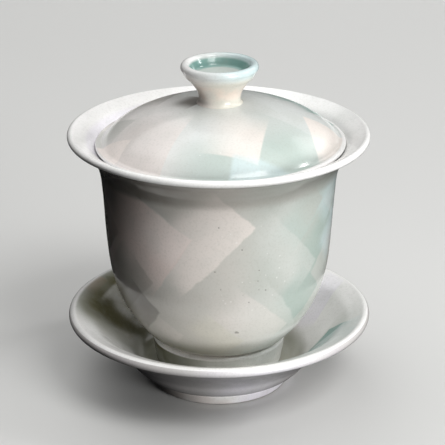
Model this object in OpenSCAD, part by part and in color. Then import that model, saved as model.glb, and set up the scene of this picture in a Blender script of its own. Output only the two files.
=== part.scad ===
// Gaiwan: a lidded tea bowl that stands on its own saucer.
// Six turned pieces of glazed porcelain. All are solids of revolution about Z,
// and the saucer's foot stands on Z = 0. Millimetres, +Z up.

/* [Saucer] */
// Diameter over the saucer's lip
saucer_d = 100.4; // [99:0.2:104]
// Height of the saucer's lip above the table
saucer_h = 26; // [24.5:0.1:28]
// Thickness of the saucer's lip
saucer_lip_t = 3.2; // [2.2:0.1:3.4]
// Height of the saucer's foot ring
saucer_foot_h = 4; // [3.5:0.1:4.5]
// Thickness of the saucer's floor, where the cup stands
saucer_floor_t = 3.5; // [3:0.1:4]

/* [Cup] */
// Diameter over the cup's lip
cup_d = 98; // [97.4:0.2:99]
// Height of the cup, from the bottom of its foot to the top of its lip
cup_h = 80.6; // [79:0.2:83]
// Thickness of the cup's lip
cup_lip_t = 2.3; // [2:0.1:2.6]
// Height of the cup's foot ring
cup_foot_h = 9.3; // [9:0.1:9.6]
// Thickness of the cup's floor
cup_floor_t = 3.5; // [3:0.1:4]
// Diameter over the shoulder of the cup's foot ring
cup_foot_d = 44; // [43:0.2:45]

/* [Lid] */
// Diameter over the lid's brim
lid_d = 81.4; // [80:0.2:81.6]
// Height of the dome above the middle of the brim
dome_h = 13.8; // [12:0.1:15]
// Thickness of the dome
dome_t = 3; // [2.2:0.1:3.4]
// Thickness of the brim
brim_t = 1.6; // [1.2:0.1:1.8]
// How far the middle of the brim sits below the top of the cup's lip
lid_drop = 4; // [3.6:0.1:4.1]
// How far out of level the lid settles in the cup's flare
lid_tilt = 0.6; // [0.3:0.1:0.8]
// How far the settled lid sits to one side
lid_shift = 0.5; // [0.3:0.1:0.5]

/* [Knob] */
// Diameter over the knob's lip
knob_d = 25.2; // [24:0.2:27]
// Height of the knob above the dome
knob_h = 13.2; // [12.5:0.1:15]
// Diameter of the knob's neck
neck_d = 13.7; // [12.5:0.1:14.5]
// Thickness of the knob's lip
knob_lip_t = 2.8; // [2.2:0.1:3]
// Depth of the hollow in the knob's top
knob_dish_h = 4; // [3:0.1:5]

/* [Hidden] */
$fn = 96;

// Straight steps between two stations of a drawn curve, and in each round lip
curve_steps = 5;
lip_steps = 10;

saucer_r = saucer_d / 2;
cup_r = cup_d / 2;
foot_r = cup_foot_d / 2;
brim_r = lid_d / 2;
knob_r = knob_d / 2;
neck_r = neck_d / 2;

// Heights from the table up
well_z = saucer_foot_h + saucer_floor_t;
bowl_z = well_z + cup_foot_h;
cup_top_z = well_z + cup_h;
brim_z = cup_top_z - lid_drop;

// The dome is the upper part of a half ellipse whose widest circle lies just under the brim
ellipse_drop = 4.9;
dome_r = brim_r - 0.1;
dome_rz = dome_h + ellipse_drop;
dome_z = brim_z - ellipse_drop;

// The knob stands on a flat seat turned on the dome's top
seat_r = 1.11 * neck_r;
seat_a = acos(seat_r / dome_r);
knob_z = dome_z + dome_rz * sin(seat_a);
knob_top_z = knob_z + knob_h;

celadon = [0.79, 0.83, 0.79];
porcelain = [0.86, 0.85, 0.81];
bare_clay = [0.83, 0.81, 0.80];

// Catmull-Rom point between b and c, at t from 0 to 1
function smooth_point(a, b, c, d, t) =
    (2 * b + (c - a) * t + (2 * a - 5 * b + 4 * c - d) * t * t + (3 * b - a - 3 * c + d) * t * t * t) / 2;

// A smooth curve through all of the stations, as [radius, height] points
function curve(s) =
    let (last = len(s) - 1)
    [
        for (i = [0 : last - 1], k = [0 : curve_steps - 1])
            smooth_point(
                i == 0 ? 2 * s[0] - s[1] : s[i - 1],
                s[i],
                s[i + 1],
                i == last - 1 ? 2 * s[last] - s[last - 1] : s[i + 2],
                k / curve_steps
            ),
        s[last]
    ];

// Points of a round lip of radius r, from angle a0 to angle a1, its ends left to the walls
function lip(centre, r, a0, a1) =
    [for (k = [1 : lip_steps - 1])
        let (a = a0 + (a1 - a0) * k / lip_steps)
        centre + r * [cos(a), sin(a)]];

// Where a wall meets its lip
function on_lip(centre, r, a) = centre + r * [cos(a), sin(a)];

// Part of an ellipse with half axes rx and rz and its middle at z0, from angle a0 to angle a1
function ellipse_arc(rx, rz, z0, a0, a1, steps) =
    [for (k = [0 : steps])
        let (a = a0 + (a1 - a0) * k / steps)
        [rx * cos(a), z0 + rz * sin(a)]];

module turned(points) {
    rotate_extrude() polygon(points);
}

module saucer_dish() {
    lip_r = saucer_lip_t / 2;
    lip_c = [saucer_r - lip_r, saucer_h - lip_r];
    wall_h = lip_c[1] - saucer_foot_h;
    under = curve([
        [0.472 * saucer_r, saucer_foot_h],
        [0.506 * saucer_r, saucer_foot_h + 0.02 * wall_h],
        [0.544 * saucer_r, saucer_foot_h + 0.08 * wall_h],
        [0.588 * saucer_r, saucer_foot_h + 0.19 * wall_h],
        [0.637 * saucer_r, saucer_foot_h + 0.33 * wall_h],
        [0.705 * saucer_r, saucer_foot_h + 0.48 * wall_h],
        [0.800 * saucer_r, saucer_foot_h + 0.66 * wall_h],
        [0.900 * saucer_r, saucer_foot_h + 0.84 * wall_h],
        on_lip(lip_c, lip_r, -60)
    ]);
    upper = curve([
        on_lip(lip_c, lip_r, 112),
        [0.900 * saucer_r, saucer_foot_h + 1.015 * wall_h],
        [0.840 * saucer_r, saucer_foot_h + 0.94 * wall_h],
        [0.768 * saucer_r, saucer_foot_h + 0.78 * wall_h],
        [0.700 * saucer_r, saucer_foot_h + 0.635 * wall_h],
        [0.640 * saucer_r, saucer_foot_h + 0.505 * wall_h],
        [0.590 * saucer_r, saucer_foot_h + 0.39 * wall_h],
        [0.535 * saucer_r, saucer_foot_h + 0.25 * wall_h],
        [0.490 * saucer_r, well_z + 0.3],
        [0.455 * saucer_r, well_z]
    ]);
    color(celadon)
        turned(concat([[0, saucer_foot_h]], under, lip(lip_c, lip_r, -60, 112), upper, [[0, well_z]]));
}

module saucer_foot_ring() {
    outside = curve([
        [0.436 * saucer_r, 0],
        [0.451 * saucer_r, 0.12 * saucer_foot_h],
        [0.461 * saucer_r, 0.45 * saucer_foot_h],
        [0.470 * saucer_r, 0.80 * saucer_foot_h],
        [0.469 * saucer_r, 0.94 * saucer_foot_h],
        [0.462 * saucer_r, saucer_foot_h]
    ]);
    inside = curve([
        [0.362 * saucer_r, saucer_foot_h],
        [0.370 * saucer_r, 0.50 * saucer_foot_h],
        [0.381 * saucer_r, 0.12 * saucer_foot_h],
        [0.394 * saucer_r, 0]
    ]);
    color(bare_clay) turned(concat(outside, inside));
}

module cup_bowl() {
    lip_r = cup_lip_t / 2;
    lip_c = [cup_r - lip_r, cup_top_z - lip_r];
    wall_h = lip_c[1] - bowl_z;
    outside = curve([
        [foot_r - 1.2, bowl_z],
        [0.467 * cup_r, bowl_z + 0.020 * wall_h],
        [0.524 * cup_r, bowl_z + 0.060 * wall_h],
        [0.588 * cup_r, bowl_z + 0.117 * wall_h],
        [0.649 * cup_r, bowl_z + 0.188 * wall_h],
        [0.699 * cup_r, bowl_z + 0.274 * wall_h],
        [0.735 * cup_r, bowl_z + 0.388 * wall_h],
        [0.755 * cup_r, bowl_z + 0.530 * wall_h],
        [0.768 * cup_r, bowl_z + 0.673 * wall_h],
        [0.781 * cup_r, bowl_z + 0.787 * wall_h],
        [0.795 * cup_r, bowl_z + 0.844 * wall_h],
        [0.821 * cup_r, bowl_z + 0.887 * wall_h],
        [0.869 * cup_r, bowl_z + 0.929 * wall_h],
        [0.932 * cup_r, bowl_z + 0.966 * wall_h],
        on_lip(lip_c, lip_r, -55)
    ]);
    inside = curve([
        on_lip(lip_c, lip_r, 128),
        [0.898 * cup_r, bowl_z + 0.989 * wall_h],
        [0.835 * cup_r, bowl_z + 0.952 * wall_h],
        [0.782 * cup_r, bowl_z + 0.909 * wall_h],
        [0.749 * cup_r, bowl_z + 0.855 * wall_h],
        [0.733 * cup_r, bowl_z + 0.787 * wall_h],
        [0.716 * cup_r, bowl_z + 0.659 * wall_h],
        [0.702 * cup_r, bowl_z + 0.530 * wall_h],
        [0.682 * cup_r, bowl_z + 0.402 * wall_h],
        [0.639 * cup_r, bowl_z + 0.281 * wall_h],
        [0.578 * cup_r, bowl_z + 0.188 * wall_h],
        [0.498 * cup_r, bowl_z + 0.120 * wall_h],
        [0.378 * cup_r, bowl_z + 0.074 * wall_h],
        [0.204 * cup_r, bowl_z + cup_floor_t + 0.2],
        [0, bowl_z + cup_floor_t]
    ]);
    color(celadon)
        turned(concat([[0, bowl_z]], outside, lip(lip_c, lip_r, -55, 128), inside));
}

module cup_foot_ring() {
    outside = curve([
        [foot_r - 1.8, well_z],
        [foot_r - 1.1, well_z + 0.07 * cup_foot_h],
        [foot_r - 0.8, well_z + 0.28 * cup_foot_h],
        [foot_r - 0.3, well_z + 0.60 * cup_foot_h],
        [foot_r, well_z + 0.84 * cup_foot_h],
        [foot_r - 0.1, well_z + 0.93 * cup_foot_h],
        [foot_r - 0.6, well_z + 0.98 * cup_foot_h],
        [foot_r - 1.2, bowl_z]
    ]);
    inside = curve([
        [foot_r - 5.5, bowl_z],
        [foot_r - 5, well_z + 0.50 * cup_foot_h],
        [foot_r - 4.2, well_z + 0.09 * cup_foot_h],
        [foot_r - 3.6, well_z]
    ]);
    color(porcelain) turned(concat(outside, inside));
}

// Puts a lid piece where the lid settles, a little out of level
module settled_lid() {
    translate([lid_shift, 0, brim_z]) rotate([0, -lid_tilt, 0]) translate([0, 0, -brim_z]) children();
}

module lid_dome() {
    edge_r = brim_t / 2;
    edge_c = [brim_r - edge_r, brim_z];
    top_z = brim_z + edge_r;
    under_z = brim_z - edge_r;
    // The dome stops this far above the brim, where a soft corner takes over
    corner_h = 0.5;
    outer_a = asin((top_z + corner_h - dome_z) / dome_rz);
    base_r = dome_r * cos(outer_a);
    inner_r = dome_r - dome_t;
    inner_rz = dome_rz - dome_t;
    inner_a = asin((under_z - dome_z) / inner_rz);
    color(celadon) settled_lid() turned(concat(
        [[0, knob_z]],
        ellipse_arc(dome_r, dome_rz, dome_z, seat_a, outer_a, 24),
        [[base_r + 0.3, top_z + 0.15], [base_r + 0.8, top_z], [edge_c[0], top_z]],
        lip(edge_c, edge_r, 90, -90),
        [[edge_c[0], under_z], [inner_r * cos(inner_a) + 0.5, under_z]],
        ellipse_arc(inner_r, inner_rz, dome_z, inner_a + 1.5, 90, 24)
    ));
}

module lid_knob() {
    lip_r = knob_lip_t / 2;
    lip_c = [knob_r - lip_r, knob_top_z - lip_r];
    cone_h = lip_c[1] - knob_z;
    dish_z = knob_top_z - knob_dish_h;
    outside = curve([
        [seat_r, knob_z],
        [neck_r * 1.03, knob_z + 0.05 * cone_h],
        [neck_r * 0.995, knob_z + 0.12 * cone_h],
        [neck_r * 1.025, knob_z + 0.25 * cone_h],
        [neck_r * 1.11, knob_z + 0.38 * cone_h],
        [neck_r * 1.25, knob_z + 0.50 * cone_h],
        [neck_r * 1.43, knob_z + 0.63 * cone_h],
        [neck_r * 1.64, knob_z + 0.76 * cone_h],
        on_lip(lip_c, lip_r, -50)
    ]);
    hollow = curve([
        on_lip(lip_c, lip_r, 165),
        [knob_r - 1.25 * knob_lip_t, dish_z + 0.42 * knob_dish_h],
        [knob_r - 1.50 * knob_lip_t, dish_z + 0.12 * knob_dish_h],
        [knob_r - 1.90 * knob_lip_t, dish_z + 0.02 * knob_dish_h],
        [knob_r - 3.20 * knob_lip_t, dish_z],
        [0, dish_z]
    ]);
    color(porcelain) settled_lid()
        turned(concat([[0, knob_z]], outside, lip(lip_c, lip_r, -50, 165), hollow));
}

saucer_dish();
saucer_foot_ring();
cup_bowl();
cup_foot_ring();
lid_dome();
lid_knob();
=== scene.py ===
"""Gaiwan in patched celadon and white glaze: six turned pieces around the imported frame.

Lengths are in metres of the row frame, except inside materials, where a shader works in
millimetres. Every piece is turned about Z from a profile of (radius, height) points.
"""
import math

import bpy
import numpy as np
from mathutils import Matrix, Vector


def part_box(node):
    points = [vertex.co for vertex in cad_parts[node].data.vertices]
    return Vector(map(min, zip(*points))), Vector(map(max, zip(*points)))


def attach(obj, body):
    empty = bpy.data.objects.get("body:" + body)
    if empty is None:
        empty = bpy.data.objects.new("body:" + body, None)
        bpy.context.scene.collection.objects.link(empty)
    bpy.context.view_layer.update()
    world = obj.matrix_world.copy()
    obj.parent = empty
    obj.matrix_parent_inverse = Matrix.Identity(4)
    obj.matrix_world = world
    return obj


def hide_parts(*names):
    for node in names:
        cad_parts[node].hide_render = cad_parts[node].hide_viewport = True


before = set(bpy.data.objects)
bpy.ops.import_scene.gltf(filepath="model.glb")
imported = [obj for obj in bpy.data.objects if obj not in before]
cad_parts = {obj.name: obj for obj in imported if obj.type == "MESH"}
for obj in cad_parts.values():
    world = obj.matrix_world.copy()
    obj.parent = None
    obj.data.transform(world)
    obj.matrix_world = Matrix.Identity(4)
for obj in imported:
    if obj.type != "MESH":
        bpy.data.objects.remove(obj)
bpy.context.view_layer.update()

MM = 0.001

# Straight steps round each turned piece, between two stations of a curve, round the arc of a lip,
# and over the dome
TURN_STEPS = 256
CURVE_STEPS = 10
ARC_STEPS = 16
DOME_STEPS = 60

# The lid settles a little out of level, and its brim has a round edge
LID_TILT = math.radians(0.6)
BRIM_EDGE = 0.8 * MM


# ---------------------------------------------------------------- sizes, from the frame

saucer_low, saucer_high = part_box("saucer_dish")
saucer_r = saucer_high.y
saucer_foot_h = saucer_low.z
saucer_top_z = saucer_high.z

bowl_low, bowl_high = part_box("cup_bowl")
cup_r = bowl_high.y
bowl_z = bowl_low.z
cup_top_z = bowl_high.z

foot_low, foot_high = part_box("cup_foot_ring")
foot_r = foot_high.y
well_z = foot_low.z
cup_foot_h = bowl_z - well_z

lid_low, lid_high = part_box("lid_dome")
brim_r = lid_high.y
lid_shift = (lid_low.x + lid_high.x) / 2
brim_z = lid_low.z + (brim_r - BRIM_EDGE) * math.sin(LID_TILT) + BRIM_EDGE

knob_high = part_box("lid_knob")[1]
knob_r = knob_high.y
KNOB_LIP = 1.4 * MM
knob_top_z = knob_high.z - (knob_r - KNOB_LIP) * math.sin(LID_TILT)


# ---------------------------------------------------------------- profiles


def smooth_point(a, b, c, d, t):
    """Catmull-Rom point between b and c, at t from 0 to 1."""
    return 0.5 * (
        2 * b + (c - a) * t + (2 * a - 5 * b + 4 * c - d) * t * t + (3 * b - a - 3 * c + d) * t**3
    )


def curve(stations):
    """Points of a smooth curve through all of the stations."""
    s = [np.array(p, float) for p in stations]
    s = [2 * s[0] - s[1]] + s + [2 * s[-1] - s[-2]]
    points = []
    for a, b, c, d in zip(s, s[1:], s[2:], s[3:]):
        points += [smooth_point(a, b, c, d, k / CURVE_STEPS) for k in range(CURVE_STEPS)]
    return points + [s[-2]]


def arc(centre, radius, start, end):
    """Points inside a round arc, from angle start to angle end in degrees, its ends left out."""
    angles = [math.radians(start + (end - start) * k / ARC_STEPS) for k in range(1, ARC_STEPS)]
    return [np.array(centre) + radius * np.array([math.cos(a), math.sin(a)]) for a in angles]


def on_arc(centre, radius, angle):
    """The point of a round arc at one angle, in degrees."""
    a = math.radians(angle)
    return (centre[0] + radius * math.cos(a), centre[1] + radius * math.sin(a))


def ellipse(rx, rz, z, start, end):
    """Points of an ellipse about the axis, from angle start to angle end in degrees."""
    steps = range(DOME_STEPS + 1)
    angles = [math.radians(start + (end - start) * k / DOME_STEPS) for k in steps]
    return [np.array([rx * math.cos(a), z + rz * math.sin(a)]) for a in angles]


def saucer_dish_profile():
    lip_r = 1.6 * MM
    lip = (saucer_r - lip_r, saucer_top_z - lip_r)
    wall = lip[1] - saucer_foot_h
    r, z = saucer_r, saucer_foot_h
    under = curve([
        (0.472 * r, z),
        (0.506 * r, z + 0.02 * wall),
        (0.544 * r, z + 0.08 * wall),
        (0.588 * r, z + 0.19 * wall),
        (0.637 * r, z + 0.33 * wall),
        (0.705 * r, z + 0.48 * wall),
        (0.800 * r, z + 0.66 * wall),
        (0.900 * r, z + 0.84 * wall),
        on_arc(lip, lip_r, -60),
    ])
    upper = curve([
        on_arc(lip, lip_r, 112),
        (0.900 * r, z + 1.015 * wall),
        (0.840 * r, z + 0.94 * wall),
        (0.768 * r, z + 0.78 * wall),
        (0.700 * r, z + 0.635 * wall),
        (0.640 * r, z + 0.505 * wall),
        (0.590 * r, z + 0.39 * wall),
        (0.535 * r, z + 0.25 * wall),
        (0.490 * r, well_z + 0.3 * MM),
        (0.455 * r, well_z),
    ])
    return [(0, z)] + under + arc(lip, lip_r, -60, 112) + upper + [(0, well_z)]


def saucer_foot_profile():
    r, h = saucer_r, saucer_foot_h
    outside = curve([
        (0.436 * r, 0),
        (0.451 * r, 0.12 * h),
        (0.461 * r, 0.45 * h),
        (0.470 * r, 0.80 * h),
        (0.469 * r, 0.94 * h),
        (0.462 * r, h),
    ])
    inside = curve([
        (0.362 * r, h),
        (0.370 * r, 0.50 * h),
        (0.381 * r, 0.12 * h),
        (0.394 * r, 0),
    ])
    return outside + inside


def cup_bowl_profile():
    lip_r = 1.15 * MM
    lip = (cup_r - lip_r, cup_top_z - lip_r)
    wall = lip[1] - bowl_z
    r, z = cup_r, bowl_z
    floor_z = bowl_z + 3.5 * MM
    outside = curve([
        (foot_r - 1.2 * MM, z),
        (0.467 * r, z + 0.020 * wall),
        (0.524 * r, z + 0.060 * wall),
        (0.588 * r, z + 0.117 * wall),
        (0.649 * r, z + 0.188 * wall),
        (0.699 * r, z + 0.274 * wall),
        (0.735 * r, z + 0.388 * wall),
        (0.755 * r, z + 0.530 * wall),
        (0.768 * r, z + 0.673 * wall),
        (0.781 * r, z + 0.787 * wall),
        (0.795 * r, z + 0.844 * wall),
        (0.821 * r, z + 0.887 * wall),
        (0.869 * r, z + 0.929 * wall),
        (0.932 * r, z + 0.966 * wall),
        on_arc(lip, lip_r, -55),
    ])
    inside = curve([
        on_arc(lip, lip_r, 128),
        (0.898 * r, z + 0.989 * wall),
        (0.835 * r, z + 0.952 * wall),
        (0.782 * r, z + 0.909 * wall),
        (0.749 * r, z + 0.855 * wall),
        (0.733 * r, z + 0.787 * wall),
        (0.716 * r, z + 0.659 * wall),
        (0.702 * r, z + 0.530 * wall),
        (0.682 * r, z + 0.402 * wall),
        (0.639 * r, z + 0.281 * wall),
        (0.578 * r, z + 0.188 * wall),
        (0.498 * r, z + 0.120 * wall),
        (0.378 * r, z + 0.074 * wall),
        (0.204 * r, floor_z + 0.2 * MM),
        (0, floor_z),
    ])
    return [(0, z)] + outside + arc(lip, lip_r, -55, 128) + inside


def cup_foot_profile():
    r, z, h = foot_r, well_z, cup_foot_h
    outside = curve([
        (r - 1.8 * MM, z),
        (r - 1.1 * MM, z + 0.07 * h),
        (r - 0.8 * MM, z + 0.28 * h),
        (r - 0.3 * MM, z + 0.60 * h),
        (r, z + 0.84 * h),
        (r - 0.1 * MM, z + 0.93 * h),
        (r - 0.6 * MM, z + 0.98 * h),
        (r - 1.2 * MM, bowl_z),
    ])
    inside = curve([
        (r - 5.5 * MM, bowl_z),
        (r - 5 * MM, z + 0.50 * h),
        (r - 4.2 * MM, z + 0.09 * h),
        (r - 3.6 * MM, z),
    ])
    return outside + inside


# The dome is the upper part of a half ellipse, and the knob stands on a flat seat on it
DOME_T = 3 * MM
ELLIPSE_DROP = 4.9 * MM
dome_r = brim_r - 0.1 * MM
dome_rz = 18.7 * MM
dome_z = brim_z - ELLIPSE_DROP
NECK_R = 6.85 * MM
seat_r = 1.11 * NECK_R
seat_angle = math.degrees(math.acos(seat_r / dome_r))
knob_z = dome_z + dome_rz * math.sin(math.radians(seat_angle))


def lid_dome_profile():
    edge = (brim_r - BRIM_EDGE, brim_z)
    top_z = brim_z + BRIM_EDGE
    under_z = brim_z - BRIM_EDGE
    outer = math.asin((top_z + 0.5 * MM - dome_z) / dome_rz)
    base_r = dome_r * math.cos(outer)
    inner_r = dome_r - DOME_T
    inner_rz = dome_rz - DOME_T
    inner = math.asin((under_z - dome_z) / inner_rz)
    corner = [(base_r + 0.3 * MM, top_z + 0.15 * MM), (base_r + 0.8 * MM, top_z), (edge[0], top_z)]
    underside = [(edge[0], under_z), (inner_r * math.cos(inner) + 0.5 * MM, under_z)]
    return (
        [(0, knob_z)]
        + ellipse(dome_r, dome_rz, dome_z, seat_angle, math.degrees(outer))
        + corner
        + arc(edge, BRIM_EDGE, 90, -90)
        + underside
        + ellipse(inner_r, inner_rz, dome_z, math.degrees(inner) + 1.5, 90)
    )


def lid_knob_profile():
    lip = (knob_r - KNOB_LIP, knob_top_z - KNOB_LIP)
    cone = lip[1] - knob_z
    dish_h = 4 * MM
    dish_z = knob_top_z - dish_h
    r, z, lip_t = NECK_R, knob_z, 2 * KNOB_LIP
    outside = curve([
        (seat_r, z),
        (1.030 * r, z + 0.05 * cone),
        (0.995 * r, z + 0.12 * cone),
        (1.025 * r, z + 0.25 * cone),
        (1.110 * r, z + 0.38 * cone),
        (1.250 * r, z + 0.50 * cone),
        (1.430 * r, z + 0.63 * cone),
        (1.640 * r, z + 0.76 * cone),
        on_arc(lip, KNOB_LIP, -50),
    ])
    hollow = curve([
        on_arc(lip, KNOB_LIP, 165),
        (knob_r - 1.25 * lip_t, dish_z + 0.42 * dish_h),
        (knob_r - 1.50 * lip_t, dish_z + 0.12 * dish_h),
        (knob_r - 1.90 * lip_t, dish_z + 0.02 * dish_h),
        (knob_r - 3.20 * lip_t, dish_z),
        (0, dish_z),
    ])
    return [(0, z)] + outside + arc(lip, KNOB_LIP, -50, 165) + hollow


# ---------------------------------------------------------------- meshes


def hand(angle, height, seed):
    """How far a hand-turned wall strays outwards at each angle and height."""
    oval = 0.07 * np.sin(2 * angle + seed) + 0.04 * np.sin(3 * angle + 2.1 * seed)
    rings = 0.016 * np.sin(height / (0.9 * MM) + 0.4 * np.sin(angle + seed))
    slow = 0.03 * np.sin(height / (3.7 * MM) + angle + seed)
    return (oval + rings + slow) * MM


def turned(name, profile, seed):
    """A closed mesh turned about Z from a profile that runs from axis to axis, or round a ring."""
    points = np.array(profile, float)
    solid = points[0, 0] == 0
    rings = points[1:-1] if solid else points
    angles = np.arange(TURN_STEPS) * 2 * math.pi / TURN_STEPS
    radius, angle = np.meshgrid(rings[:, 0], angles, indexing="ij")
    height = np.repeat(rings[:, 1:], TURN_STEPS, axis=1)
    radius = radius + hand(angle, height, seed)
    grid = np.stack([radius * np.cos(angle), radius * np.sin(angle), height], axis=-1)
    verts = grid.reshape(-1, 3).tolist()
    count = len(rings)
    faces = []
    for i in range(count - 1 if solid else count):
        low, high = i * TURN_STEPS, (i + 1) % count * TURN_STEPS
        for j in range(TURN_STEPS):
            k = (j + 1) % TURN_STEPS
            faces.append((low + j, low + k, high + k, high + j))
    if solid:
        verts += [(0, 0, points[0, 1]), (0, 0, points[-1, 1])]
        start, end, last = len(verts) - 2, len(verts) - 1, (count - 1) * TURN_STEPS
        for j in range(TURN_STEPS):
            k = (j + 1) % TURN_STEPS
            faces.append((start, k, j))
            faces.append((end, last + j, last + k))
    mesh = bpy.data.meshes.new(name)
    mesh.from_pydata(verts, [], faces)
    mesh.shade_smooth()
    piece = bpy.data.objects.new(name, mesh)
    bpy.context.scene.collection.objects.link(piece)
    return piece


def settle_lid(piece):
    """Puts a lid piece where the lid settles in the cup's flare, a little out of level."""
    pivot = Vector((0, 0, brim_z))
    turn = Matrix.Rotation(-LID_TILT, 4, "Y")
    tilt = Matrix.Translation(pivot) @ turn @ Matrix.Translation(-pivot)
    piece.data.transform(Matrix.Translation((lid_shift, 0, 0)) @ tilt)


# ---------------------------------------------------------------- glazes, and painted light and shade


def shade(red, green, blue):
    """A linear colour from the display values 0 to 255."""
    return tuple((v / 255) ** 2.2 for v in (red, green, blue)) + (1.0,)


# Colours by name: most are glazes, and painted_shade is a dark brown laid only as painted shade
GLAZE_AND_SHADE_COLOURS = {
    "cream": shade(234, 226, 219),
    "rose": shade(236, 220, 213),
    "peach": shade(234, 213, 199),
    "pale": shade(214, 215, 210),
    "mist": shade(201, 205, 199),
    "bone": shade(213, 210, 199),
    "white": shade(250, 249, 247),
    "lilac": shade(240, 236, 246),
    "sage": shade(190, 194, 187),
    "stone": shade(164, 159, 151),
    # painted shade, for shadows and shaded sides
    "painted_shade": shade(124, 118, 112),
    "olive": shade(146, 145, 128),
    "moss": shade(100, 97, 70),
    "celadon": shade(181, 197, 190),
    "jade": shade(168, 185, 177),
    "teal": shade(158, 184, 177),
    "deep": shade(124, 162, 155),
    "ice": shade(204, 221, 222),
    "clay": shade(231, 223, 218),
    "shell": shade(250, 241, 235),
    "pearl": shade(245, 241, 238),
    "frost": shade(218, 221, 219),
    "oat": shade(206, 202, 195),
    "speck": shade(96, 92, 84),
}

# How wide the crisp edge of a patch is, in millimetres, on a wall and on a dish or a lid
WALL_CRISP = 0.9
PLAN_CRISP = 0.8

GLAZE_IOR = 1.52
BUMP_HEIGHT = 0.02 * MM


class Shader:
    """Builds one material from nodes. Its coordinates are millimetres of the row frame."""

    def __init__(self, name):
        self.material = bpy.data.materials.new(name)
        self.material.use_nodes = True
        self.tree = self.material.node_tree
        self.tree.nodes.clear()
        self.surface = self.tree.nodes.new("ShaderNodeBsdfPrincipled")
        output = self.tree.nodes.new("ShaderNodeOutputMaterial")
        self.tree.links.new(self.surface.outputs["BSDF"], output.inputs["Surface"])
        place = self.tree.nodes.new("ShaderNodeTexCoord").outputs["Object"]
        self.place = self.scaled(place, 1 / MM)
        parts = self.tree.nodes.new("ShaderNodeSeparateXYZ")
        self.put(parts.inputs[0], self.place)
        self.x, self.y, self.z = parts.outputs
        self.r = self.hypotenuse(self.x, self.y)
        # 0 at the front (-Y), growing towards +X
        self.angle = self.math("ARCTAN2", self.x, self.times(self.y, -1))
        # -1 at the left, 0 at the front and back, 1 at the right
        self.side = self.math("DIVIDE", self.x, self.r)

    def put(self, socket, value):
        if isinstance(value, bpy.types.NodeSocket):
            self.tree.links.new(value, socket)
        else:
            socket.default_value = value

    def math(self, operation, *values):
        node = self.tree.nodes.new("ShaderNodeMath")
        node.operation = operation
        for socket, value in zip(node.inputs, values):
            self.put(socket, value)
        return node.outputs[0]

    def times(self, a, b):
        return self.math("MULTIPLY", a, b)

    def hypotenuse(self, a, b):
        return self.math("SQRT", self.math("ADD", self.times(a, a), self.times(b, b)))

    def apart(self, value, middle):
        """How far a value is from a middle one, on either side."""
        return self.math("ABSOLUTE", self.math("SUBTRACT", value, middle))

    def scaled(self, vector, factor):
        node = self.tree.nodes.new("ShaderNodeVectorMath")
        node.operation = "SCALE"
        self.put(node.inputs[0], vector)
        self.put(node.inputs["Scale"], factor)
        return node.outputs[0]

    def step(self, value, start, end, low=0.0, high=1.0):
        """Goes smoothly from low to high as value goes from start to end."""
        node = self.tree.nodes.new("ShaderNodeMapRange")
        node.interpolation_type = "SMOOTHSTEP"
        for socket, given in zip(node.inputs, (value, start, end, low, high)):
            self.put(socket, given)
        return node.outputs[0]

    def band(self, value, start, end, soft):
        """1 between start and end, fading to 0 over soft on both sides."""
        rise = self.step(value, start - soft, start)
        return self.times(rise, self.step(value, end + soft, end))

    def mix(self, amount, a, b):
        node = self.tree.nodes.new("ShaderNodeMix")
        node.data_type = "RGBA"
        self.put(node.inputs[0], amount)
        self.put(node.inputs[6], a)
        self.put(node.inputs[7], b)
        return node.outputs[2]

    def coat(self, colour, mask, glaze):
        """Lays one of the named colours over a colour, as far as the mask is above 0. Most are
        glazes; some marks use them as painted light and shade.
        """
        return self.mix(mask, colour, GLAZE_AND_SHADE_COLOURS[glaze])

    def noise(self, size, detail=2.0):
        """Smooth noise from 0 to 1 whose features are about size millimetres across."""
        node = self.tree.nodes.new("ShaderNodeTexNoise")
        node.inputs["Scale"].default_value = 1 / size
        node.inputs["Detail"].default_value = detail
        self.put(node.inputs["Vector"], self.place)
        return node.outputs["Fac"]

    def dots(self, spacing, radius, share, shift):
        """Scattered round dots: one cell in each spacing, of which a share holds a dot. Another
        shift gives another scatter."""
        mapping = self.tree.nodes.new("ShaderNodeMapping")
        mapping.inputs["Location"].default_value = (shift, shift, shift)
        self.put(mapping.inputs["Vector"], self.place)
        node = self.tree.nodes.new("ShaderNodeTexVoronoi")
        node.inputs["Scale"].default_value = 1 / spacing
        self.put(node.inputs["Vector"], mapping.outputs["Vector"])
        split = self.tree.nodes.new("ShaderNodeSeparateColor")
        self.put(split.inputs[0], node.outputs["Color"])
        kept = self.math("LESS_THAN", split.outputs[0], share)
        largest = radius / spacing
        reach = self.times(split.outputs[1], largest)
        depth = self.math("SUBTRACT", reach, node.outputs["Distance"])
        return self.times(kept, self.step(depth, 0.0, 0.35 * largest))

    def upper_side(self):
        """1 on the inside and top of a dish or bowl, 0 on its outside and underside."""
        normal = self.tree.nodes.new("ShaderNodeNewGeometry").outputs["Normal"]
        parts = self.tree.nodes.new("ShaderNodeSeparateXYZ")
        self.put(parts.inputs[0], normal)
        x, y, z = parts.outputs
        outward = self.math("ADD", self.times(x, self.x), self.times(y, self.y))
        outward = self.math("DIVIDE", outward, self.r)
        return self.step(self.math("SUBTRACT", outward, z), 0.1, -0.1)

    def behind(self, distance, reach, crisp, fade):
        """1 behind an edge: crisp at the edge itself, and faded out after reach millimetres."""
        return self.times(self.step(distance, 0.0, crisp), self.step(distance, reach, reach - fade))

    def patch(self, across, up, tilt, reach, crisp, fade):
        """One tilted patch of glaze whose right-hand corner is at across 0, up 0. Its upper and its
        lower edge at that corner are crisp, and it fades out behind each."""
        t = math.radians(tilt)
        c, s = math.cos(t), math.sin(t)
        from_upper = self.math("ADD", self.times(across, -c), self.times(up, -s))
        from_lower = self.math("ADD", self.times(across, -s), self.times(up, c))
        upper = self.behind(from_upper, reach[0], crisp, fade)
        return self.times(upper, self.behind(from_lower, reach[1], crisp, fade))


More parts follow.
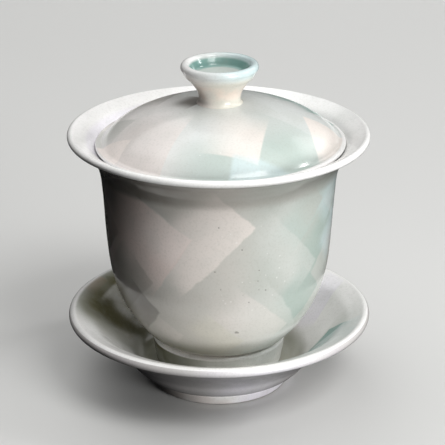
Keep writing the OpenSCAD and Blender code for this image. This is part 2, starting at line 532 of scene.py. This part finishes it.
def wrapped_patches(s, colour, patches, wander):
    """Lays patches round a wall, with their corners at an angle and a height. Their edges stray
    sideways by wander."""
    for corner, rise, tilt, reach, fade, glaze, strength in patches:
        turn = s.math("SUBTRACT", s.angle, math.radians(corner))
        around = s.times(s.math("WRAP", turn, math.pi, -math.pi), s.r)
        across = s.math("ADD", around, wander)
        up = s.math("SUBTRACT", s.z, rise)
        mask = s.patch(across, up, tilt, reach, WALL_CRISP, fade)
        colour = s.coat(colour, s.times(mask, strength), glaze)
    return colour


def flat_patches(s, colour, patches):
    """Lays patches on a dish or a lid, with their corners at x and y."""
    for x, y, tilt, reach, fade, glaze, strength in patches:
        across = s.math("SUBTRACT", s.x, float(x))
        up = s.math("SUBTRACT", s.y, float(y))
        mask = s.patch(across, up, tilt, reach, PLAN_CRISP, fade)
        colour = s.coat(colour, s.times(mask, strength), glaze)
    return colour


def spot(s, angle, height, size):
    """A round mask on a wall, its middle at an angle in degrees and a height."""
    turn = s.times(s.math("SUBTRACT", s.angle, math.radians(angle)), s.r)
    rise = s.math("SUBTRACT", s.z, height)
    return s.step(s.hypotenuse(turn, rise), size, 0.4 * size)


def finish_glaze(s, colour, roughness=0.16, pits=0.05, flaws=0.0, bubbles=0.0):
    """Mottle, pale bubbles, dark pits and gloss. A piece can bring flaws and bubbles of its own."""
    colour = s.coat(colour, s.step(s.noise(7.0, 3.0), 0.40, 0.70, 0.0, 0.14), "sage")
    colour = s.coat(colour, s.step(s.noise(0.7, 2.0), 0.45, 0.75, 0.0, 0.12), "olive")
    pale = s.math("MAXIMUM", s.dots(3.1, 0.42, 0.10, 40.0), bubbles)
    dark = s.math("MAXIMUM", s.dots(4.3, 0.36, pits, 10.0), flaws)
    colour = s.coat(colour, s.times(pale, 0.35), "white")
    colour = s.coat(colour, s.times(dark, 0.60), "speck")
    s.put(s.surface.inputs["Base Color"], colour)

    gloss = s.step(s.noise(2.4, 3.0), 0.30, 0.75, roughness, roughness + 0.10)
    s.put(s.surface.inputs["Roughness"], s.math("ADD", gloss, s.times(dark, 0.3)))
    s.surface.inputs["IOR"].default_value = GLAZE_IOR
    s.surface.inputs["Coat Weight"].default_value = 0.15
    s.surface.inputs["Coat Roughness"].default_value = 0.06

    waves = s.math("ADD", s.times(s.noise(1.6, 1.0), 0.5), s.times(s.noise(6.0, 1.0), 1.6))
    height = s.math("SUBTRACT", s.math("ADD", waves, s.times(pale, 0.8)), s.times(dark, 2.0))
    bump = s.tree.nodes.new("ShaderNodeBump")
    bump.inputs["Distance"].default_value = BUMP_HEIGHT
    s.put(bump.inputs["Height"], height)
    s.put(s.surface.inputs["Normal"], bump.outputs["Normal"])
    return s.material


# Patches on the cup's wall. Each has its corner's angle and height, its tilt, how far it reaches
# behind its upper and its lower edge, its fade, its colour and its strength. Most colours are
# glazes, and some patches are painted shade.
CUP_PATCHES = [
    (-52, 60, 48, (50, 40), 16, "rose", 0.75),
    (112, 62, 45, (24, 24), 8, "ice", 0.80),
    # Painted shade under the flare on the left, and down the left side of the wall
    (-30, 90, 70, (24, 60), 8, "painted_shade", 0.90),
    (-58, 60, 45, (24, 36), 16, "painted_shade", 0.90),
    (4, 88, 62, (34, 40), 12, "stone", 0.25),
    (76, 62, 48, (26, 18), 10, "jade", 0.80),
    (72, 78, 45, (34, 16), 8, "celadon", 0.55),
    (84, 74, 45, (20, 16), 7, "ice", 0.60),
    (88, 57, 45, (16, 15), 5, "ice", 0.75),
    (66, 40, 46, (18, 20), 6, "jade", 0.70),
    (112, 82, 50, (26, 24), 14, "teal", 0.45),
    (62, 23, 42, (24, 38), 9, "pale", 0.45),
    (45, 30, 51, (20, 32), 10, "clay", 0.45),
    (58.5, 51, 45, (15, 36), 11, "pale", 0.40),
    (60, 72, 48, (14, 14), 8, "sage", 0.75),
    (18.5, 68.3, 46.5, (36, 24), 8, "cream", 0.90),
    (-12, 64.5, 58, (30, 40), 14, "rose", 0.90),
    (-12, 64.5, 56, (17, 20), 8, "shell", 0.50),
    # Painted shade on the lower left of the wall
    (-34, 47, 45, (26, 14), 8, "stone", 0.45),
    (-32, 36, 48, (18, 18), 8, "painted_shade", 0.60),
    (17, 26, 47, (12, 21), 6, "bone", 0.75),
    (-20, 28, 50, (9, 13), 5, "clay", 0.35),
    (-84, 70, 42, (26, 20), 9, "cream", 0.80),
    (-104, 48, 52, (20, 24), 10, "mist", 0.70),
    (-122, 74, 46, (22, 18), 9, "celadon", 0.60),
    (-138, 62, 50, (26, 22), 9, "cream", 0.85),
    (-150, 36, 44, (16, 24), 8, "bone", 0.60),
    (-172, 72, 48, (24, 20), 9, "rose", 0.75),
    (176, 46, 46, (20, 26), 9, "mist", 0.75),
    (146, 66, 52, (24, 20), 9, "cream", 0.80),
    (134, 34, 46, (15, 22), 8, "celadon", 0.60),
    (104, 52, 44, (20, 22), 9, "pale", 0.70),
]

# Patches on the saucer's upper side, by the x and y of their corners
SAUCER_PATCHES = [
    (52, -20, 60, (40, 34), 12, "celadon", 0.70),
    (48, 26, 50, (26, 12), 5, "lilac", 0.60),
    (44, 6, 50, (30, 9), 5, "white", 0.80),
    (37.0, -2.8, 137, (13, 20), 8, "deep", 1.0),
    (52, -6, 100, (20, 30), 10, "ice", 0.45),
    (-40, 26, 200, (20, 16), 6, "olive", 0.60),
    (-38, 24, 70, (14, 22), 7, "peach", 0.75),
    (20, 48, 60, (26, 20), 8, "mist", 0.70),
    (-8, 50, 40, (20, 26), 9, "cream", 0.70),
    (-20, -24, 30, (34, 30), 10, "pale", 0.25),
    (10, -34, 50, (22, 24), 9, "cream", 0.60),
    (36, -20, 75, (20, 24), 9, "celadon", 0.60),
]

# Patches on the lid, in the same way
LID_PATCHES = [
    (40, 14, 44, (20, 50), 8, "teal", 0.80),
    (-4, 30, 60, (34, 30), 10, "stone", 0.50),
    # Painted reflection: a soft dark reflection on the left of the dome
    (-26, -4, 40, (14, 22), 9, "sage", 0.45),
    (34, -16, 70, (22, 26), 8, "jade", 0.20),
    # Painted shadow of the knob, just left of the neck
    (-2.5, 1.5, 45, (12, 11), 6, "painted_shade", 0.80),
    (12, 4, 212, (18, 16), 7, "frost", 0.95),
    (26.5, -2.5, 192, (26, 24), 7, "cream", 0.95),
    (-18.5, -36, -25, (30, 30), 14, "clay", 0.80),
    (-27, -16, 52, (24, 30), 8, "shell", 0.95),
    (12.5, -34.5, -10, (22, 26), 16, "cream", 0.90),
    # Painted reflection: ice-blue streaks of a light's reflection on the front of the brim
    (24, -40, -4, (21, 8), 2, "ice", 0.65),
    (12, -42, -12, (10, 8), 1.5, "ice", 0.60),
]

# Single dark flaws on the cup's front: angle in degrees, height and size
CUP_FLAWS = [(0, 69, 0.35), (10, 30.5, 0.75), (11, 30.3, 0.5), (24, 46, 0.4)]


def cup_glaze():
    s = Shader("cup_glaze")
    lip, base = cup_top_z / MM, bowl_z / MM
    wander = s.step(s.noise(5.0, 2.0), 0.2, 0.8, -0.5, 0.5)
    outside = s.mix(s.step(s.noise(22.0, 2.0), 0.35, 0.65), GLAZE_AND_SHADE_COLOURS["sage"], GLAZE_AND_SHADE_COLOURS["mist"])
    outside = s.coat(outside, s.step(s.side, 0.45, 0.05, 0.0, 0.85), "oat")
    outside = wrapped_patches(s, outside, CUP_PATCHES, wander)
    # Painted shade down the far left of the wall
    outside = s.coat(outside, s.times(s.band(s.angle, -1.8, -1.15, 0.3), 0.7), "painted_shade")
    # Olive in the groove above the foot is partly pooled glaze and partly painted shade under the
    # bowl's curve, so it fades out on the lit right
    groove_pool_and_shade = s.times(s.step(s.z, base + 8.2, base + 2.7), s.step(s.side, 0.5, -0.5, 0.0, 0.80))
    outside = s.coat(outside, groove_pool_and_shade, "olive")
    # Painted light: white low on the right of the bowl
    painted_light_right_base = s.times(s.step(s.z, base + 12.2, base + 5.2), s.step(s.side, 0.2, 0.7))
    outside = s.coat(outside, painted_light_right_base, "white")
    # Painted light: paler cream in the crease where the bowl meets the foot
    outside = s.coat(outside, s.step(s.z, base + 2.2, base + 0.6, 0.0, 0.8), "cream")
    # Painted shade under the flare, darkest towards the left
    flare = s.band(s.z, lip - 11.1, lip - 5.6, 3.0)
    under_rim_shade = s.times(flare, s.step(s.side, 0.6, -0.6, 0.45, 0.75))
    outside = s.coat(outside, under_rim_shade, "stone")
    outside = s.coat(outside, s.times(under_rim_shade, s.step(s.side, 0.0, -0.6)), "painted_shade")
    # The inside pools celadon at the bottom and turns lilac at the flare
    inside = s.mix(s.step(s.z, base + 17.2, base + 5.2), GLAZE_AND_SHADE_COLOURS["white"], GLAZE_AND_SHADE_COLOURS["celadon"])
    inside = s.coat(inside, s.step(s.z, lip - 14.1, lip - 8.1, 0.0, 0.6), "lilac")
    # Painted shade: greyer on the right of the inside, which faces away from the light
    inside = s.coat(inside, s.step(s.side, 0.2, 0.9, 0.0, 0.7), "pale")
    colour = s.mix(s.upper_side(), outside, inside)
    colour = s.coat(colour, s.step(s.z, lip - 3.5, lip - 1.9), "white")
    flaws = s.times(s.dots(2.3, 0.40, 0.45, 25.0), spot(s, 12, 52, 18))
    for angle, height, size in CUP_FLAWS:
        flaws = s.math("MAXIMUM", flaws, spot(s, angle, height, size))
    bubbles = s.times(s.dots(1.9, 0.45, 0.70, 60.0), spot(s, 16, 52, 22))
    return finish_glaze(s, colour, flaws=flaws, bubbles=bubbles)


def cup_foot_glaze():
    s = Shader("cup_foot_glaze")
    top, base = bowl_z / MM, well_z / MM
    # Painted shade and light: moss on the shaded left of the foot, white towards the lit right
    colour = s.mix(s.step(s.side, -0.8, -0.1), GLAZE_AND_SHADE_COLOURS["moss"], GLAZE_AND_SHADE_COLOURS["pale"])
    colour = s.coat(colour, s.step(s.side, -0.3, 0.2), "white")
    colour = s.coat(colour, s.step(s.noise(9.0, 2.0), 0.35, 0.65, 0.0, 0.3), "sage")
    # A white line above, and bare clay where it stands
    colour = s.coat(colour, s.step(s.z, top - 1.5, top - 1.0), "white")
    colour = s.coat(colour, s.step(s.z, base + 0.9, base + 0.4), "clay")
    return finish_glaze(s, colour)


def saucer_glaze():
    s = Shader("saucer_glaze")
    lip = saucer_r / MM
    upper = s.mix(s.step(s.noise(20.0, 2.0), 0.35, 0.65), GLAZE_AND_SHADE_COLOURS["mist"], GLAZE_AND_SHADE_COLOURS["pale"])
    # Painted light: white on the wall at the right and at the front left
    right = s.step(s.apart(s.angle, 1.95), 0.70, 0.25)
    lit_front_left = s.step(s.apart(s.angle, -0.80), 0.75, 0.35)
    wall = s.step(s.r, 25.0, 31.0, 0.0, 0.95)
    upper = s.coat(upper, s.times(wall, s.math("MAXIMUM", right, lit_front_left)), "white")
    upper = flat_patches(s, upper, SAUCER_PATCHES)
    # Painted shade: dark moss on the back left, where the cup's shadow and its dark reflection
    # fall. Olive all round where the wall turns into the floor under the cup is partly pooled glaze
    # and partly painted shade
    left = s.step(s.apart(s.angle, -2.05), 0.90, 0.30)
    upper = s.coat(upper, s.times(s.band(s.r, 29.0, 42.0, 12.0), left), "moss")
    upper = s.coat(upper, s.step(s.r, 31.0, 26.0, 0.0, 0.70), "olive")
    # White towards the lip is partly glaze and partly painted light; it starts later on the shaded
    # back left and earlier on the right
    lip_start = s.math("SUBTRACT", s.r, s.math("ADD", s.times(left, 8.0), s.times(right, 4.0)))
    upper = s.coat(upper, s.step(lip_start, 38.0, 45.0, 0.0, 0.5), "white")
    upper = s.coat(upper, s.step(s.r, lip - 2.8, lip - 1.6), "white")
    under = s.mix(s.noise(12.0), GLAZE_AND_SHADE_COLOURS["white"], GLAZE_AND_SHADE_COLOURS["lilac"])
    # Painted shade: stone on both sides of the underside, away from its lit middle
    under = s.coat(under, s.step(s.apart(s.side, 0.3), 0.05, 0.6, 0.0, 0.6), "stone")
    return finish_glaze(s, s.mix(s.upper_side(), under, upper), pits=0.02)


def saucer_foot_glaze():
    s = Shader("saucer_foot_glaze")
    top = saucer_foot_h / MM
    colour = s.mix(s.step(s.noise(9.0, 2.0), 0.35, 0.65), GLAZE_AND_SHADE_COLOURS["clay"], GLAZE_AND_SHADE_COLOURS["white"])
    # Painted shade on the left of the foot
    colour = s.coat(colour, s.step(s.side, 0.0, -0.7, 0.0, 0.7), "painted_shade")
    colour = s.coat(colour, s.step(s.side, 0.1, 0.5, 0.0, 0.8), "lilac")
    # Painted shade in the crease along the top, and bare clay where it stands
    colour = s.coat(colour, s.step(s.z, top - 0.5, top - 0.05), "stone")
    colour = s.coat(colour, s.step(s.z, 0.6, 0.2), "clay")
    return finish_glaze(s, colour, roughness=0.28)


def lid_glaze():
    s = Shader("lid_glaze")
    edge, brim = brim_r / MM, brim_z / MM
    colour = s.mix(s.step(s.x, -4.0, -22.0), GLAZE_AND_SHADE_COLOURS["frost"], GLAZE_AND_SHADE_COLOURS["pearl"])
    colour = s.coat(colour, s.step(s.noise(18.0, 2.0), 0.35, 0.65, 0.0, 0.35), "mist")
    front_right = s.step(s.apart(s.angle, 0.35), 1.1, 0.3)
    colour = s.coat(colour, s.times(s.step(s.r, 20.0, 33.0, 0.0, 0.68), front_right), "jade")
    colour = flat_patches(s, colour, LID_PATCHES)
    # The brim's edge and the underside are white
    colour = s.coat(colour, s.step(s.r, edge - 1.1, edge - 0.4), "white")
    colour = s.coat(colour, s.step(s.z, brim - 0.2, brim - 0.5), "white")
    return finish_glaze(s, colour, pits=0.03)


def knob_glaze():
    s = Shader("knob_glaze")
    edge, top, base = knob_r / MM, knob_top_z / MM, knob_z / MM
    # Painted light: cream on the shaded left of the neck, bone elsewhere
    neck = s.mix(s.step(s.side, -0.8, 0.1), GLAZE_AND_SHADE_COLOURS["cream"], GLAZE_AND_SHADE_COLOURS["bone"])
    warm = s.times(s.step(s.noise(6.0, 2.0), 0.30, 0.60), s.band(s.z, base + 3.4, base + 6.4, 2.0))
    neck = s.coat(neck, s.times(warm, 0.6), "peach")
    # The lip is ice-blue glaze, painted whiter on the left as painted light and darker towards the
    # right as painted shade
    lip = s.mix(s.step(s.x, -12.0, -4.0), GLAZE_AND_SHADE_COLOURS["white"], GLAZE_AND_SHADE_COLOURS["frost"])
    lip = s.coat(lip, s.step(s.x, -5.0, 8.0), "ice")
    colour = s.mix(s.step(s.z, top - 4.75, top - 1.75), neck, lip)
    # The hollow on top is teal, and paler in its middle
    in_hollow = s.times(s.step(s.r, edge - 1.8, edge - 2.2), s.step(s.z, top - 4.45, top - 4.25))
    colour = s.coat(colour, s.times(in_hollow, s.step(s.z, top - 0.75, top - 1.75)), "deep")
    middle = s.step(s.r, edge - 4.2, edge - 5.6, 0.0, 0.85)
    colour = s.coat(colour, s.times(in_hollow, middle), "pale")
    return finish_glaze(s, colour, pits=0.02)


# ---------------------------------------------------------------- pieces

# Node, body, profile, material, hand seed
PIECES = [
    ("saucer_dish", "saucer", saucer_dish_profile, saucer_glaze, 0.6),
    ("saucer_foot_ring", "saucer", saucer_foot_profile, saucer_foot_glaze, 0.6),
    ("cup_bowl", "cup", cup_bowl_profile, cup_glaze, 2.3),
    ("cup_foot_ring", "cup", cup_foot_profile, cup_foot_glaze, 2.3),
    ("lid_dome", "lid", lid_dome_profile, lid_glaze, 4.1),
    ("lid_knob", "lid", lid_knob_profile, knob_glaze, 4.1),
]


def build_pieces():
    for node, body, profile, material, seed in PIECES:
        piece = turned(node + "_glazed", profile(), seed)
        if body == "lid":
            settle_lid(piece)
        piece.data.materials.append(material())
        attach(piece, body)
        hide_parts(node)


# ---------------------------------------------------------------- camera, floor and light

CAMERA_LENS = 155.8
CAMERA_PLACE = (1.2 * MM, -590 * MM, 290 * MM)
CAMERA_TILT = math.radians(68.345)

FLOOR_REACH = 4.0
FLOOR_COLOUR = shade(214, 214, 212)

LIGHT_TARGET = Vector((0, 0, 0.06))

# Softboxes a metre from the target: azimuth from the camera's side towards +X and elevation, both
# in degrees, then width and height in metres, and power in watts
SOFTBOXES = [
    ("key_low", 41, 5, 0.50, 0.28, 8.6),
    ("key_high", 36, 50, 0.45, 0.35, 4.3),
    ("top", -38, 84, 1.40, 1.40, 5.0),
    ("right", 94, 34, 0.16, 0.16, 1.6),
    ("back_right", 130, 35, 0.40, 0.40, 0.7),
    ("back_left", -148, 58, 0.80, 0.80, 2.6),
    ("back_low", 174, 10, 0.80, 0.40, 2.2),
]

# Lamps that only lift the side away from the camera, without a highlight on the glaze
DULL = {"back_low"}

WORLD_COLOUR = (0.95, 0.96, 1.0, 1)
WORLD_STRENGTH = 0.01


def add_camera():
    data = bpy.data.cameras.new("camera")
    data.sensor_width = 36
    data.lens = CAMERA_LENS
    camera = bpy.data.objects.new("camera", data)
    camera.location = CAMERA_PLACE
    camera.rotation_euler = (CAMERA_TILT, 0, 0)
    bpy.context.scene.collection.objects.link(camera)
    bpy.context.scene.camera = camera


def add_floor():
    mesh = bpy.data.meshes.new("floor")
    signs = ((-1, -1), (1, -1), (1, 1), (-1, 1))
    corners = [(x * FLOOR_REACH, y * FLOOR_REACH, 0) for x, y in signs]
    mesh.from_pydata(corners, [], [(0, 1, 2, 3)])
    floor = bpy.data.objects.new("floor", mesh)
    bpy.context.scene.collection.objects.link(floor)
    s = Shader("floor")
    s.surface.inputs["Base Color"].default_value = FLOOR_COLOUR
    s.surface.inputs["Roughness"].default_value = 1.0
    s.surface.inputs["Specular IOR Level"].default_value = 0.0
    mesh.materials.append(s.material)
    floor.visible_diffuse = False
    floor.visible_glossy = False


def add_softbox(name, azimuth, elevation, width, height, power):
    a, e = math.radians(azimuth), math.radians(elevation)
    data = bpy.data.lights.new(name, "AREA")
    data.shape = "RECTANGLE"
    data.size = width
    data.size_y = height
    data.energy = power
    lamp = bpy.data.objects.new(name, data)
    lamp.visible_glossy = name not in DULL
    direction = Vector((math.sin(a) * math.cos(e), -math.cos(a) * math.cos(e), math.sin(e)))
    lamp.location = LIGHT_TARGET + direction
    lamp.rotation_euler = (-direction).to_track_quat("-Z", "Y").to_euler()
    bpy.context.scene.collection.objects.link(lamp)


def add_light():
    for softbox in SOFTBOXES:
        add_softbox(*softbox)
    world = bpy.data.worlds.new("studio")
    world.use_nodes = True
    background = world.node_tree.nodes["Background"]
    background.inputs["Color"].default_value = WORLD_COLOUR
    background.inputs["Strength"].default_value = WORLD_STRENGTH
    bpy.context.scene.world = world
    bpy.context.scene.view_settings.view_transform = "Standard"


add_camera()
add_floor()
add_light()
build_pieces()
